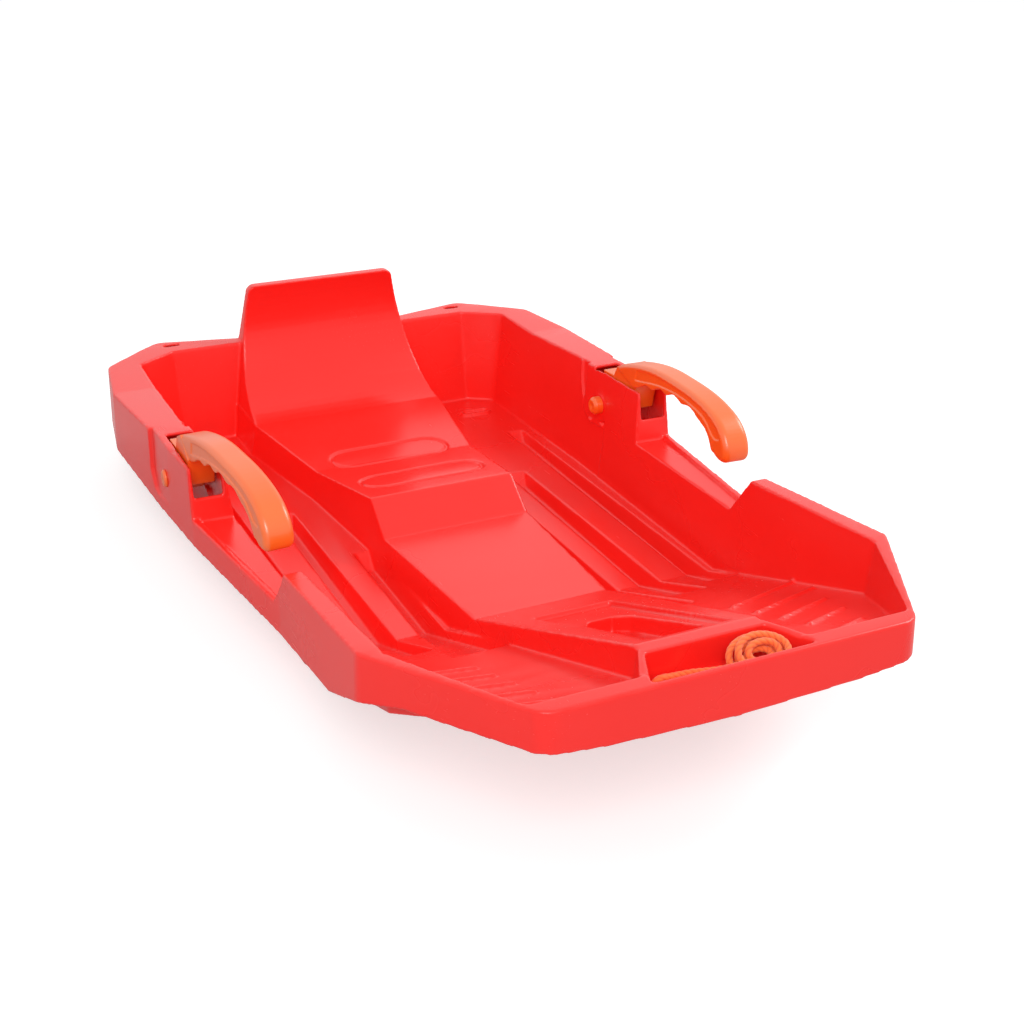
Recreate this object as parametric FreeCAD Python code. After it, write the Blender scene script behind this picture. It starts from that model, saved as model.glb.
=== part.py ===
import FreeCAD, Part
import math
import os

# Children's sled with two hand brakes and a tow rope, in millimetres.
# +X points the way it slides, +Y is the rider's left, and Z = 0 is the snow under its runners.

# Moulded wall and overruns
wall = 3.0
overrun = 40.0
deep = 60.0

# Hull outline at the rim, one half from the rear to the front
hull_length = 818.0
hull_middle_x = 0.45
rear_inset = 67.0
rear_hollow = 20.0
rear_hollow_half_width = 84.0
shoulder_back = 54.0
shoulder_inset = 10.0
widest_back = 129.0
widest_half_width = 229.0
waist_rear_x = -44.0
waist_rear_inset = 14.0
waist_front_x = 130.0
waist_front_inset = 33.5
bow_back = 119.0
bow_inset = 34.0
prow_inset = 102.0
skirt_draft = 2.0
plan_corner_radius = 16.0

# Rim heights along the side, and the hand notch in front of the brake
rim_rear_height = 102.0
rim_widest_height = 103.0
housing_rear_height = 112.5
housing_front_height = 116.0
notch_rear_height = 71.0
notch_front_height = 76.0
step_height = 109.0
bow_height = 127.0
prow_height = 135.0
housing_rear_x = -138.0
housing_front_x = -50.0
notch_rear_x = -44.0
notch_front_x = 117.0
step_x = 140.0
lip_height = 3.0
lip_width = 6.0

# Lower edge of the skirt
skirt_rear_height = 47.0
skirt_middle_height = 51.0
skirt_notch_height = 56.0
skirt_dip_from_bow = 174.45
skirt_dip_height = 69.0
skirt_bow_height = 92.0
skirt_cheek_from_bow = 89.45
skirt_cheek_height = 100.0
skirt_prow_height = 107.0
skirt_apron_height = 100.0
skirt_apron_shoulder_height = 103.0
skirt_apron_shoulder_half_width = 86.0
skirt_gap = 3.0

# Tub: its outline at floor level, and how far its walls lean outwards
tub_rear_from_rear = 50.55
tub_rear_inset = 77.0
tub_shoulder_from_rear = 66.55
tub_shoulder_inset = 53.0
tub_middle_x = -152.0
tub_middle_inset = 49.5
tub_bow_from_bow = 111.45
tub_bow_inset = 60.8
tub_front_from_bow = 18.45
tub_front_inset = 108.2
rear_wall_lean = 10.0
lean_wall_inset = 50.5
lean_wall_lean = 8.6
side_wall_lean = 5.7
bow_wall_lean = 5.0
front_wall_lean = 1.5
tub_corner_radius = 8.0

# Edge where the leaning rear wall steps in to the brake housing, seen from the side
panel_edge_drop = 34.0
panel_lobe_drop = 52.0
panel_lobe_reach = 18.0
panel_lobe_length = 46.0

# Floor: nearly level, then a ramp for the feet
floor_rear_height = 9.0
floor_front_height = 18.0
ramp_start_x = 108.0
ramp_end_height = 121.0

# Runners pressed down from the floor: distance from the middle as a share of the tub's half width,
# and rear and front ends as shares of half the hull's length
runner_shares = [(0.418, -0.118, 0.5), (0.635, -0.368, 0.41), (0.886, -0.612, 0.356)]
runner_half_width = 4.5
runner_lean = 20.0
runner_level_end_x = 84.0
runner_ramp_depth = 9.0
runner_end_length = 14.0

# Tread ribs on the foot ramp
tread_count = 5
tread_first_from_bow = 162.45
tread_pitch = 30.0
tread_inner = 99.0
tread_outer_inset = 53.0
tread_outer_loss = 6.0
tread_sweep = 0.45
tread_width = 4.0
tread_height = 2.0

# Pod in the middle: seat, step, platform and bow bridge
seat_half_width = 94.0
seat_rear_from_rear = 108.55
seat_waist_x = -170.0
seat_waist_half_width = 74.0
crest_x = -53.0
crest_half_width = 65.0
crest_height = 61.0
step_foot_x = -21.0
step_foot_height = 37.0
platform_front_x = 144.0
platform_front_height = 43.0
platform_half_width = 54.0
bridge_end_from_bow = 47.45
bridge_end_height = 133.0
bridge_half_width = 51.0
tray_block_half_width = 70.0
tray_block_from_bow = 11.45
pod_lean = 6.0
seat_dip_height = 41.0

# Shallow recess between the rails of the bow bridge, and the hand pocket in it
recess_rear_from_bow = 216.45
recess_front_from_bow = 57.45
recess_rear_half_width = 31.0
recess_front_half_width = 30.0
recess_depth = 4.0
pocket_rear_from_bow = 177.45
pocket_length = 109.0
pocket_half_width = 22.0
pocket_outline_shares = [(0.0, 0.55), (0.15, 1.0), (0.93, 1.0), (1.0, 0.68)]
pocket_depth = 17.0
pocket_lean = 5.0

# Grooves pressed into the seat
seat_ring_rear_x = -184.0
seat_ring_front_x = -101.0
seat_ring_half_length = 58.0
seat_ring_radius = 22.0
seat_ring_width = 4.0
seat_ring_depth = 1.8

# Rope tray in the bow
tray_rear_from_bow = 39.45
tray_rear_half_width = 42.0
tray_front_from_bow = 4.95
tray_front_half_width = 57.0
tray_floor_height = 111.0
tray_lean = 3.0
tray_corner_radius = 3.0

# Backrest, a hollow curved upright in one with the seat
crease_from_rear = 113.55
crease_height = 42.0
backrest_radius = 90.0
backrest_centre_from_rear = 127.55
backrest_centre_z = 130.0
backrest_top_height = 160.0
backrest_top_half_width = 74.0
backrest_foot_half_width = 95.0
backrest_depth = 12.0
backrest_back_lean = 9.0
backrest_corner_radius = 8.0

# Hitch slots through the rear rim, and low rings on the floor under them
hitch_from_rear = 14.55
hitch_inset = 79.0
hitch_length = 16.0
hitch_width = 6.0
ring_from_rear = 94.55
ring_inset = 86.0
ring_half_length = 9.0
ring_radius = 7.0
ring_wall = 2.5
ring_height = 3.0

# Recessed outer panel round each brake pivot
panel_rear_x = -162.0
panel_corner_x = -152.0
panel_front_x = -106.0
panel_shoulder_height = 74.0
panel_floor_height = 58.0
panel_front_height = 62.0
panel_recess = 3.0

# Brake pivot, and the walls and bosses on either side of the lever
pivot_x = -118.0
pivot_z = 82.0
lever_inset = 27.3
lever_width = 21.4
grip_width = 23.4
lever_gap = 0.4
boss_radius = 12.0
pad_radius = 9.0
inner_pad_inset = 44.0
outer_pad_inset = 8.4
pin_radius = 4.0
running_gap = 0.06
pin_head_radius = 7.5
pin_head_height = 2.6
pin_dish = 1.4
cap_socket_depth = 2.6
cap_radius = 8.2
cap_height = 8.5
cap_rounding = 2.4

# Pocket for the lever in the top of the rim
slot_rear_x = -138.0
slot_gap = 0.9
slot_depth = 17.0
sill_height = 91.0
stop_rib_x = -164.5
stop_rib_thickness = 3.0
stop_rib_side_play = 12.0
stop_gap = 0.3

# Brake lever
hub_radius = 11.5
arm_tip_x = -214.0
arm_tip_z = 46.0
arm_width = 11.0
arm_inset = 22.4
arm_root_half_depth = 8.0
arm_tip_half_depth = 4.5
claw_drop = 7.0
claw_length = 16.0
tail_x = -126.0
tail_thickness = 3.0
tail_height = 112.8
grip_rear_x = -104.0
grip_length = 215.0
grip_foot_z = 110.0
grip_height = 40.0
grip_turn = 3.7
tail_relief = 2.0
grip_top_shares = [(0, 0.1), (0.031, 0.388), (0.099, 0.562), (0.197, 0.725), (0.309, 0.863), (0.422, 0.95),
                   (0.538, 0.985), (0.691, 1), (0.848, 0.912), (0.942, 0.725), (0.987, 0.475), (1, 0.212)]
grip_end_shares = [(0.989, 0.062), (0.942, 0), (0.904, 0.062)]
grip_under_shares = [(0.874, 0.275), (0.825, 0.5), (0.762, 0.605), (0.74, 0.655), (0.677, 0.685),
                     (0.632, 0.64), (0.605, 0.675), (0.538, 0.665), (0.502, 0.58), (0.471, 0.61),
                     (0.413, 0.56), (0.377, 0.46), (0.345, 0.47), (0.278, 0.365), (0.242, 0.265), (0.197, 0.21)]
leg_shares = [(0.17, -0.4), (0.139, -0.425), (0.054, -0.275), (0.022, -0.45)]
side_panel_depth = 1.0
side_panel_top_shares = [(0.233, 0.66), (0.332, 0.775), (0.43, 0.845), (0.538, 0.88), (0.691, 0.895),
                         (0.843, 0.81), (0.924, 0.65)]
side_panel_under_shares = [(0.951, 0.475), (0.897, 0.425), (0.843, 0.61), (0.744, 0.74), (0.632, 0.765),
                           (0.511, 0.715), (0.404, 0.625), (0.287, 0.475), (0.215, 0.385)]
grip_edge_radius = 5.0

# Tow rope
rope_diameter = 4.5
rope_gap = 0.1
coil_middle_x = 382.0
coil_middle_y = 21.5
coil_straight = 17.0
coil_pitch = 5.05
coil_layer_pitch = 5.15
coil_tilt = 35.0
coil_inner_half = 4.6
coil_half_pitches = [[3, 2, 1, 0], [0, 1, 2, 3], [3]]
coil_lead = 4.5
bend_share = 0.45
knot_radius = 7.0
rope_hole_gap = 0.4
near_lead_y = 3.5
near_route = [(393.0, -3.0, 121.0), (386.5, -8.5, 119.4), (380.0, -13.5, 117.0), (376.0, -20.0, 114.8),
              (374.9, -27.0, 114.3), (375.2, -32.4, 115.3), (375.4, -36.6, 114.6), (375.6, -38.9, 111.6)]
near_hole = (375.6, -38.9)
tail_route = [(391.2, 47.4, 113.0), (391.5, 43.8, 116.4), (391.8, 39.4, 116.2)]
tail_hole = (391.2, 47.4)
tail_lead_y = 35.5
tail_end_y = 32.3

rear_end_x = hull_middle_x - hull_length / 2
front_end_x = hull_middle_x + hull_length / 2
ceiling = backrest_top_height + overrun
rear_half_width = widest_half_width - rear_inset
shoulder_half_width = widest_half_width - shoulder_inset
waist_rear_half_width = widest_half_width - waist_rear_inset
waist_front_half_width = widest_half_width - waist_front_inset
bow_half_width = widest_half_width - bow_inset
prow_half_width = widest_half_width - prow_inset
skirt_dip_x = front_end_x - skirt_dip_from_bow
skirt_cheek_x = front_end_x - skirt_cheek_from_bow
tub_rear_x = rear_end_x + tub_rear_from_rear
tub_rear_half_width = widest_half_width - tub_rear_inset
tub_shoulder_x = rear_end_x + tub_shoulder_from_rear
tub_shoulder_half_width = widest_half_width - tub_shoulder_inset
tub_middle_half_width = widest_half_width - tub_middle_inset
tub_bow_x = front_end_x - tub_bow_from_bow
tub_bow_half_width = widest_half_width - tub_bow_inset
tub_front_x = front_end_x - tub_front_from_bow
tub_front_half_width = widest_half_width - tub_front_inset
lean_wall_half_width = widest_half_width - lean_wall_inset
tread_first_x = front_end_x - tread_first_from_bow
tread_outer = widest_half_width - tread_outer_inset
seat_rear_x = rear_end_x + seat_rear_from_rear
bridge_end_x = front_end_x - bridge_end_from_bow
tray_block_x = front_end_x - tray_block_from_bow
recess_rear_x = front_end_x - recess_rear_from_bow
recess_front_x = front_end_x - recess_front_from_bow
pocket_rear_x = front_end_x - pocket_rear_from_bow
tray_rear_x = front_end_x - tray_rear_from_bow
tray_front_x = front_end_x - tray_front_from_bow
crease_x = rear_end_x + crease_from_rear
backrest_centre_x = rear_end_x + backrest_centre_from_rear
hitch_x = rear_end_x + hitch_from_rear
hitch_y = widest_half_width - hitch_inset
ring_x = rear_end_x + ring_from_rear
ring_y = widest_half_width - ring_inset
lever_middle = widest_half_width - lever_inset
inner_pad_y = widest_half_width - inner_pad_inset
outer_pad_y = widest_half_width - outer_pad_inset
arm_middle = widest_half_width - arm_inset


def vec(x, y, z):
    return FreeCAD.Vector(x, y, z)


def tangent_of(degrees):
    return math.tan(math.radians(degrees))


def cosine_of(degrees):
    return math.cos(math.radians(degrees))


def both_sides(half):
    """Whole outline of a symmetric piece, from its left half listed from rear to front."""
    return half + [(x, -y) for x, y in reversed(half)]


def mirrored(shape):
    return shape.mirror(vec(0, 0, 0), vec(0, 1, 0))


def moved_sides(points, distances):
    """Outline whose every side has moved outwards by its own distance."""
    count = len(points)
    lines = []
    for index in range(count):
        (u0, v0), (u1, v1) = points[index], points[(index + 1) % count]
        length = math.hypot(u1 - u0, v1 - v0)
        along = ((u1 - u0) / length, (v1 - v0) / length)
        out = (-along[1], along[0])
        move = distances[index]
        lines.append(((u0 + out[0] * move, v0 + out[1] * move), along))
    corners = []
    for index in range(count):
        (p, d), (q, e) = lines[index - 1], lines[index]
        cross = d[0] * e[1] - d[1] * e[0]
        reach = ((q[0] - p[0]) * e[1] - (q[1] - p[1]) * e[0]) / cross
        corners.append((p[0] + d[0] * reach, p[1] + d[1] * reach))
    return corners


def solid_of(faces):
    solid = Part.Solid(Part.Shell(faces))
    if solid.Volume < 0:
        solid.reverse()
    return solid


def drafted(points, leans, reference, low, high, grow):
    """Solid between two levels whose sides lean outwards, grown all round by a distance."""
    def level(z):
        moves = [grow / cosine_of(lean) + (z - reference) * tangent_of(lean) for lean in leans]
        return [vec(x, y, z) for x, y in moved_sides(points, moves)]

    bottom, top = level(low), level(high)
    count = len(points)
    faces = [Part.Face(Part.makePolygon(bottom + bottom[:1])), Part.Face(Part.makePolygon(top + top[:1]))]
    for index in range(count):
        after = (index + 1) % count
        corners = [bottom[index], bottom[after], top[after], top[index]]
        faces.append(Part.Face(Part.makePolygon(corners + corners[:1])))
    return solid_of(faces)


def side_slab(points, half_width, grow):
    """Solid with a side profile, as wide as asked, grown by a distance in the profile's plane."""
    profile = moved_sides(points, [grow] * len(points))
    corners = [vec(x, -half_width, z) for x, z in profile]
    face = Part.Face(Part.makePolygon(corners + corners[:1]))
    return face.extrude(vec(0, 2 * half_width, 0))


def box(x0, x1, y0, y1, z0, z1):
    return Part.makeBox(x1 - x0, y1 - y0, z1 - z0, vec(x0, y0, z0))


def cross_cylinder(x, z, radius, y0, y1):
    return Part.makeCylinder(radius, y1 - y0, vec(x, y0, z), vec(0, 1, 0))


def rising_edges(solid, least):
    """Edges that climb at least so far."""
    return [edge for edge in solid.Edges if edge.BoundBox.ZLength > least]


def under_line(line, half_width, grow):
    """Everything under a side line, down past the snow."""
    first, last = line[0], line[-1]
    points = line + [(last[0], -deep), (first[0], -deep)]
    return side_slab(points, half_width, grow)


def over_line(line, half_width, grow):
    """Everything over a side line, well past the rim."""
    first, last = line[0], line[-1]
    points = [(first[0], hull_length), (last[0], hull_length)] + line[::-1]
    return side_slab(points, half_width, grow)


def height_at(line, x):
    """Height of a side line at one place along the hull."""
    for (x0, z0), (x1, z1) in zip(line, line[1:]):
        if x0 <= x <= x1:
            return z0 + (z1 - z0) * (x - x0) / (x1 - x0)
    return line[-1][1]


def slot_prism(x, y, half_length, radius, z0, z1):
    """Round-ended upright prism that lies along Y."""
    middle = box(x - radius, x + radius, y - half_length, y + half_length, z0, z1)
    for end in (y - half_length, y + half_length):
        middle = middle.fuse(Part.makeCylinder(radius, z1 - z0, vec(x, end, z0)))
    return middle.removeSplitter()


def hull_outline():
    rear = rear_end_x
    front = front_end_x
    return both_sides([
        (rear + rear_hollow, rear_hollow_half_width),
        (rear, rear_half_width),
        (rear + shoulder_back, shoulder_half_width),
        (rear + widest_back, widest_half_width),
        (waist_rear_x, waist_rear_half_width),
        (waist_front_x, waist_front_half_width),
        (front - bow_back, bow_half_width),
        (front, prow_half_width),
    ])


def rim_top_line():
    rear = rear_end_x
    front = front_end_x
    slope = (prow_height - bow_height) / bow_back
    return [
        (rear - overrun, rim_rear_height),
        (rear + widest_back, rim_widest_height),
        (housing_rear_x, housing_rear_height),
        (housing_front_x, housing_front_height),
        (notch_rear_x, notch_rear_height),
        (notch_front_x, notch_front_height),
        (step_x, step_height),
        (front - bow_back, bow_height),
        (front + overrun, prow_height + slope * overrun),
    ]


def outline_block(depth):
    outline = hull_outline()
    leans = [-skirt_draft] * len(outline)
    block = drafted(outline, leans, prow_height, -deep, ceiling, -depth)
    return block.makeFillet(plan_corner_radius, rising_edges(block, deep))


def panel_waste(depth):
    """What the recessed panel round each brake pivot takes from the outside of the skirt."""
    rear = rear_end_x
    fall = (waist_rear_half_width - widest_half_width) / (waist_rear_x - rear - widest_back)

    def edge_at(x):
        return widest_half_width + fall * (x - rear - widest_back)

    tilt = panel_recess / (panel_front_x - panel_rear_x)
    x0, x1 = panel_rear_x - overrun, panel_front_x + overrun
    y0 = edge_at(x0) - tilt * (panel_front_x - x0)
    y1 = edge_at(x1) + tilt * (x1 - panel_front_x)
    inside = drafted(both_sides([(x0, y0), (x1, y1)]), [-skirt_draft] * 4, prow_height, -deep, ceiling, -depth)
    profile = [
        (panel_rear_x, ceiling), (panel_front_x + wall, ceiling), (panel_front_x + wall, panel_front_height),
        (panel_corner_x + (panel_corner_x - panel_rear_x), panel_floor_height),
        (panel_corner_x, panel_floor_height + wall), (panel_rear_x, panel_shoulder_height),
    ]
    return side_slab(profile, hull_length, depth).cut(inside)


def outer_block(depth):
    block = outline_block(depth).cut(panel_waste(depth))
    return block.common(under_line(rim_top_line(), hull_length, -depth))


def floor_line():
    return [
        (tub_rear_x - overrun, floor_rear_height),
        (ramp_start_x, floor_front_height),
        (tub_front_x, ramp_end_height),
        (tub_front_x + overrun, ramp_end_height),
    ]


def tub_space(depth):
    """Room inside the tub above its floor, grown by the depth under the surface."""
    outline = both_sides([
        (tub_rear_x, tub_rear_half_width),
        (tub_shoulder_x, tub_shoulder_half_width),
        (tub_middle_x, tub_middle_half_width),
        (tub_bow_x, tub_bow_half_width),
        (tub_front_x, tub_front_half_width),
    ])
    side = [side_wall_lean, side_wall_lean, side_wall_lean, bow_wall_lean]
    leans = side + [front_wall_lean] + side[::-1] + [rear_wall_lean]
    room = drafted(outline, leans, floor_rear_height, -deep, ceiling, depth)
    corners = [e for e in rising_edges(room, deep) if abs(e.CenterOfMass.x - tub_middle_x) > overrun]
    room = room.makeFillet(tub_corner_radius + depth, corners)
    return room.common(over_line(floor_line(), hull_length, depth))


def lean_space(depth):
    """Room that the leaning walls beside the seat add to the tub."""
    end_x = tub_middle_x + panel_lobe_length
    outline = both_sides([
        (tub_rear_x, tub_rear_half_width),
        (tub_shoulder_x, tub_shoulder_half_width),
        (end_x, lean_wall_half_width),
    ])
    leans = [lean_wall_lean, lean_wall_lean, 0, lean_wall_lean, lean_wall_lean, rear_wall_lean]
    room = drafted(outline, leans, floor_rear_height, -deep, ceiling, depth)
    rear_edges = [e for e in rising_edges(room, deep) if e.CenterOfMass.x < tub_middle_x - overrun]
    room = room.makeFillet(tub_corner_radius + depth, rear_edges)
    room = room.common(over_line(floor_line(), hull_length, depth))
    top = housing_rear_height
    profile = [
        (tub_middle_x, ceiling), (end_x + overrun, ceiling),
        (end_x + overrun, top - panel_edge_drop - wall),
        (end_x, top - panel_edge_drop - 3 * wall),
        (tub_middle_x + panel_lobe_reach, top - panel_lobe_drop),
        (tub_middle_x + panel_lobe_reach / 4, top - (panel_edge_drop + panel_lobe_drop) / 2),
        (tub_middle_x, top - panel_edge_drop),
    ]
    return room.cut(side_slab(profile, hull_length, -depth))


def runner_space(depth):
    """Troughs in the floor whose undersides are the runners."""
    floor = floor_line()
    spaces = []
    for middle_share, rear_share, front_share in runner_shares:
        middle = tub_middle_half_width * middle_share
        rear, front = hull_length / 2 * rear_share, hull_length / 2 * front_share
        outline = [(rear, middle + runner_half_width), (front, middle + runner_half_width),
                   (front, middle - runner_half_width), (rear, middle - runner_half_width)]
        room = drafted(outline, [runner_lean] * 4, wall, -deep, ceiling, depth)
        low_end = front - runner_end_length
        line = [
            (rear, height_at(floor, rear)),
            (rear + runner_end_length, wall),
            (runner_level_end_x, wall),
            (low_end, height_at(floor, low_end) - runner_ramp_depth),
            (front, height_at(floor, front)),
        ]
        over = over_line(line, hull_length, depth)
        under = under_line(floor, hull_length, wall)
        piece = room.common(over).common(under)
        spaces += [piece, mirrored(piece)]
    return spaces


def bridge_line():
    return [
        (-hull_length, crease_height),
        (crease_x, crease_height),
        (seat_waist_x, seat_dip_height),
        (crest_x, crest_height),
        (step_foot_x, step_foot_height),
        (platform_front_x, platform_front_height),
        (bridge_end_x, bridge_end_height),
        (hull_length, bridge_end_height),
    ]


def recess_space(depth):
    """Shallow recess between the rails, and the pocket in its floor."""
    rails = both_sides([(recess_rear_x, recess_rear_half_width), (recess_front_x, recess_front_half_width)])
    slope = (bridge_end_height - platform_front_height) / (bridge_end_x - platform_front_x)
    start = platform_front_height - slope * overrun
    ramp = [(platform_front_x - overrun, start), (bridge_end_x + overrun, bridge_end_height + slope * overrun)]

    def dug(outline, leans, drop):
        low = [(x, z - drop) for x, z in ramp]
        return drafted(outline, leans, bridge_end_height, -deep, ceiling, depth).common(
            over_line(low, hull_length, depth))

    room = dug(rails, [0.0] * len(rails), recess_depth)
    pocket = both_sides([(pocket_rear_x + pocket_length * u, pocket_half_width * v)
                         for u, v in pocket_outline_shares])
    return room.fuse(dug(pocket, [pocket_lean] * len(pocket), pocket_depth))


def tray_space(depth):
    outline = both_sides([(tray_rear_x, tray_rear_half_width), (tray_front_x, tray_front_half_width)])
    room = drafted(outline, [tray_lean] * 4, bridge_end_height, tray_floor_height - depth, ceiling, depth)
    return room.makeFillet(tray_corner_radius + depth, rising_edges(room, overrun))


def pod(depth):
    """Seat, step, platform and bridge, shrunk by the depth under the surface."""
    outline = both_sides([
        (rear_end_x + rear_hollow + wall, seat_half_width),
        (seat_rear_x, seat_half_width),
        (seat_waist_x, seat_waist_half_width),
        (crest_x, crest_half_width),
        (platform_front_x, platform_half_width),
        (bridge_end_x, bridge_half_width),
        (tray_block_x, tray_block_half_width),
        (tray_block_x + overrun, tray_block_half_width),
    ])
    leans = [-pod_lean] * len(outline)
    block = drafted(outline, leans, crest_height, -deep, ceiling, -depth)
    block = block.common(under_line(bridge_line(), hull_length, -depth))
    return block.cut(recess_space(depth))


def arc_through(start, middle, end):
    return Part.Arc(start, middle, end).toShape()


def backrest(depth):
    """Hollow upright with a round front face, shrunk by the depth under the surface."""
    radius = backrest_radius + depth
    top = backrest_top_height - depth

    def front(z):
        rise = z - backrest_centre_z
        return vec(backrest_centre_x - math.sqrt(radius ** 2 - rise ** 2), -hull_length, z)

    start = front(crease_height - depth)
    middle = front((crease_height + backrest_top_height) / 2)
    end = front(top)
    rear_top = end.x - backrest_depth + 2 * depth
    fall = top + deep
    rear_foot = rear_top - fall * tangent_of(backrest_back_lean)
    corners = [end, vec(rear_top, -hull_length, top), vec(rear_foot, -hull_length, -deep),
               vec(start.x, -hull_length, -deep), start]
    edges = [arc_through(start, middle, end)]
    edges += Part.makePolygon(corners).Edges
    slab = Part.Face(Part.Wire(edges)).extrude(vec(0, 2 * hull_length, 0))
    spread = (backrest_foot_half_width - backrest_top_half_width) / (backrest_top_height - crease_height)
    foot_half = backrest_foot_half_width + spread * (crease_height + deep)
    half_front = [(backrest_top_half_width, backrest_top_height), (foot_half, -deep)]
    front_view = [(-y, z) for y, z in reversed(half_front)] + half_front
    shrunk = moved_sides(front_view, [-depth] * len(front_view))
    corners = [vec(-hull_length, y, z) for y, z in shrunk]
    face = Part.Face(Part.makePolygon(corners + corners[:1]))
    sheet = face.extrude(vec(hull_length, 0, 0))
    rounding = backrest_corner_radius - depth
    upright = [e for e in sheet.Edges if e.BoundBox.XLength > hull_length / 2 and e.CenterOfMass.z > 0]
    sheet = sheet.makeFillet(rounding, upright)
    return slab.common(sheet)


def under_surface(depth):
    """Everything below the sled's upper surface, less a skin of the given depth."""
    body = outer_block(depth)
    room = tub_space(depth).fuse([lean_space(depth)] + runner_space(depth))
    body = body.cut(room)
    body = body.fuse(pod(depth).common(outer_block(depth)))
    body = body.cut(tray_space(depth))
    return body.fuse(backrest(depth))


def skirt_waste():
    """What hangs below the skirt's lower edge outside the tub."""
    rear = rear_end_x
    front = front_end_x
    line = [
        (rear - overrun, skirt_rear_height),
        (housing_rear_x, skirt_rear_height),
        (waist_rear_x, skirt_middle_height),
        (waist_front_x, skirt_notch_height),
        (skirt_dip_x, skirt_dip_height),
        (front - bow_back, skirt_bow_height),
        (skirt_cheek_x, skirt_cheek_height),
        (front, skirt_prow_height),
        (front + overrun, skirt_prow_height),
    ]
    waste = under_line(line, hull_length, 0)
    grown = wall + skirt_gap
    waste = waste.cut(tub_space(grown).fuse([lean_space(grown)] + runner_space(grown)))
    apron = [
        (-prow_half_width, skirt_prow_height + wall), (prow_half_width, skirt_prow_height + wall),
        (prow_half_width, skirt_prow_height), (skirt_apron_shoulder_half_width, skirt_apron_shoulder_height),
        (0, skirt_apron_height),
        (-skirt_apron_shoulder_half_width, skirt_apron_shoulder_height), (-prow_half_width, skirt_prow_height),
    ]
    corners = [vec(front - wall - skirt_gap, y, z) for y, z in apron]
    face = Part.Face(Part.makePolygon(corners + corners[:1]))
    return waste.cut(face.extrude(vec(overrun, 0, 0)))


def notch_lips():
    """Raised outer edge of each hand notch."""
    ring = outline_block(0).cut(outline_block(lip_width))
    profile = [
        (notch_rear_x - wall, notch_rear_height + lip_height), (notch_front_x + wall, notch_front_height + lip_height),
        (notch_front_x + wall, notch_front_height - wall / 2), (notch_rear_x - wall, notch_rear_height - wall / 2),
    ]
    return ring.common(side_slab(profile, hull_length, 0))


def tread_ribs():
    """Slanting ribs on the ramp in front of the rider's feet."""
    ribs = []
    ramp_slope = (ramp_end_height - floor_front_height) / (tub_front_x - ramp_start_x)
    line = [(ramp_start_x, floor_front_height), (tub_front_x, ramp_end_height)]
    proud = tread_height * math.sqrt(1 + ramp_slope ** 2)
    raised = [(x, z + proud) for x, z in line]
    sunk = [(x, z - wall / 2) for x, z in line]
    band = side_slab(raised + sunk[::-1], hull_length, 0)
    for index in range(tread_count):
        x = tread_first_x + index * tread_pitch
        outer = tread_outer - index * tread_outer_loss * (1 if x < tub_bow_x else 2)
        back = tread_sweep * (outer - tread_inner)
        corners = [vec(x, tread_inner, 0), vec(x + tread_width, tread_inner, 0),
                   vec(x + tread_width - back, outer, 0), vec(x - back, outer, 0)]
        rib = Part.Face(Part.makePolygon(corners + corners[:1])).extrude(vec(0, 0, ceiling)).common(band)
        ribs += [rib, mirrored(rib)]
    return ribs


def seat_rings():
    """Round-ended groove outlines pressed into the seat."""
    low = [(x, z - seat_ring_depth) for x, z in bridge_line()]
    grooves = []
    for x in (seat_ring_rear_x, seat_ring_front_x):
        ring = slot_prism(x, 0, seat_ring_half_length - seat_ring_radius, seat_ring_radius, 0, crest_height + wall)
        core = slot_prism(x, 0, seat_ring_half_length - seat_ring_radius, seat_ring_radius - seat_ring_width,
                          0, crest_height + wall)
        grooves.append(ring.cut(core).cut(under_line(low, hull_length, 0)))
    return grooves


def floor_rings():
    """Low rings on the floor beside the backrest."""
    base = floor_rear_height - wall / 2
    top = height_at(floor_line(), ring_x) + ring_height
    ring = slot_prism(ring_x, ring_y, ring_half_length, ring_radius, base, top)
    core = slot_prism(ring_x, ring_y, ring_half_length, ring_radius - ring_wall, base, top)
    ring = ring.cut(core)
    return [ring, mirrored(ring)]


def lever_y(width):
    return lever_middle - width / 2, lever_middle + width / 2


def arm_top_height(x):
    """Height of the top of the brake arm at rest."""
    share = (x - arm_tip_x) / (pivot_x - arm_tip_x)
    dx, dz = pivot_x - arm_tip_x, pivot_z - arm_tip_z
    half = arm_tip_half_depth + (arm_root_half_depth - arm_tip_half_depth) * share
    return arm_tip_z + dz * share + half * math.hypot(dx, dz) / dx


def housing_fittings(left):
    """Bosses and pads round the pin, and the rib that the arm rests against, on one side."""
    inner_face, outer_face = lever_y(lever_width + 2 * lever_gap)
    parts = [
        cross_cylinder(pivot_x, pivot_z, boss_radius, inner_pad_y + wall / 2, inner_face),
        cross_cylinder(pivot_x, pivot_z, pad_radius, inner_pad_y, inner_face),
        cross_cylinder(pivot_x, pivot_z, boss_radius, outer_face, outer_pad_y - wall / 2),
        cross_cylinder(pivot_x, pivot_z, pad_radius, outer_face, outer_pad_y),
    ]
    front = stop_rib_x + stop_rib_thickness / 2
    rear = stop_rib_x - stop_rib_thickness / 2
    top = height_at(rim_top_line(), stop_rib_x) - wall / 2
    slant = math.hypot(1, (pivot_z - arm_tip_z) / (pivot_x - arm_tip_x))
    corners = [(front, top), (front, arm_top_height(front) + stop_gap * slant),
               (rear, arm_top_height(rear) + stop_gap * slant), (rear, top)]
    points = [vec(x, arm_middle - stop_rib_side_play, z) for x, z in corners]
    rib = Part.Face(Part.makePolygon(points + points[:1])).extrude(vec(0, stop_rib_side_play + arm_width + wall, 0))
    parts.append(rib.common(outline_block(wall / 2)))
    return parts if left else [mirrored(part) for part in parts]


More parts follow.
